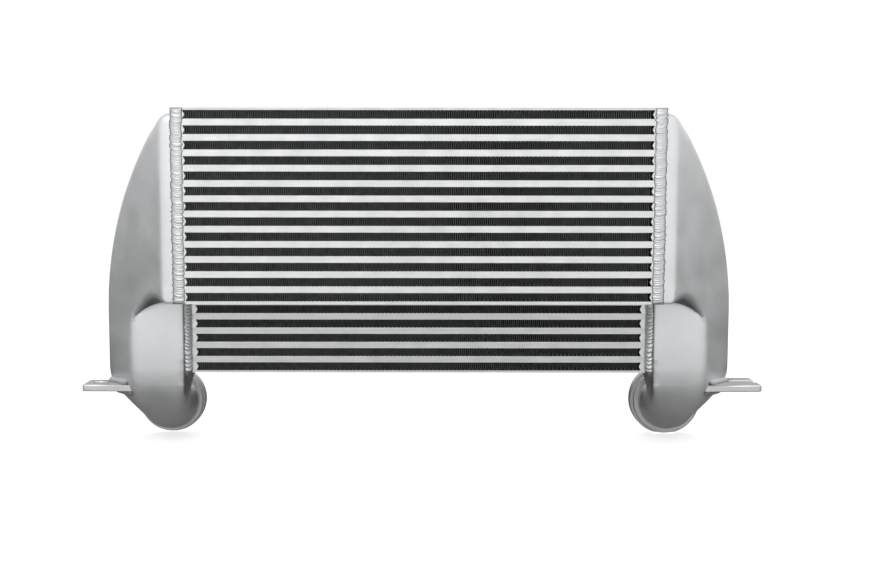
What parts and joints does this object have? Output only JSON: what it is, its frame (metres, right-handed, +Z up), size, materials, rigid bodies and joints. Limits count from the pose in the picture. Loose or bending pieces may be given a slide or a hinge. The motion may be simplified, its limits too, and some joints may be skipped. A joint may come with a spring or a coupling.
{
  "type": "intercooler",
  "caption": "Bar-and-plate charge-air cooler with a stepped core, two cast end tanks, round ports at the lower back and welded mounting tabs.",
  "frame": {"origin": "middle of the part's footprint, level with the lowest point of the port collars", "axes": "+X along the core towards the right-hand tank, +Y from the front face back to the ports, +Z up"},
  "size_m": [0.783, 0.155, 0.389],
  "materials": {
    "cast_aluminium": "cast and lightly blasted",
    "machined_aluminium": "turned",
    "weld_aluminium": "as welded",
    "brazed_aluminium": "brushed, as brazed",
    "fin_aluminium": "thin folded sheet, dark in its depth"
  },
  "bodies": {
    "root": {"core_top_plate": "brazed_aluminium", "core_step_plate": "brazed_aluminium", "core_bottom_plate": "brazed_aluminium", "upper_parting_sheets": "brazed_aluminium", "lower_parting_sheets": "brazed_aluminium", "upper_front_bars": "brazed_aluminium", "upper_rear_bars": "brazed_aluminium", "lower_front_bars": "brazed_aluminium", "lower_rear_bars": "brazed_aluminium", "upper_cooling_fins": "fin_aluminium", "lower_cooling_fins": "fin_aluminium", "upper_turbulators": "fin_aluminium", "lower_turbulators": "fin_aluminium", "upper_left_end_bars": "brazed_aluminium", "lower_left_end_bars": "brazed_aluminium", "upper_right_end_bars": "brazed_aluminium", "lower_right_end_bars": "brazed_aluminium", "left_end_tank": "cast_aluminium", "left_port_collar": "machined_aluminium", "left_mounting_tab": "cast_aluminium", "left_front_weld": "weld_aluminium", "left_rear_weld": "weld_aluminium", "left_top_weld": "weld_aluminium", "left_bottom_weld": "weld_aluminium", "right_end_tank": "cast_aluminium", "right_port_collar": "machined_aluminium", "right_mounting_tab": "cast_aluminium", "right_front_weld": "weld_aluminium", "right_rear_weld": "weld_aluminium", "right_top_weld": "weld_aluminium", "right_bottom_weld": "weld_aluminium"}
  },
  "joints": []
}
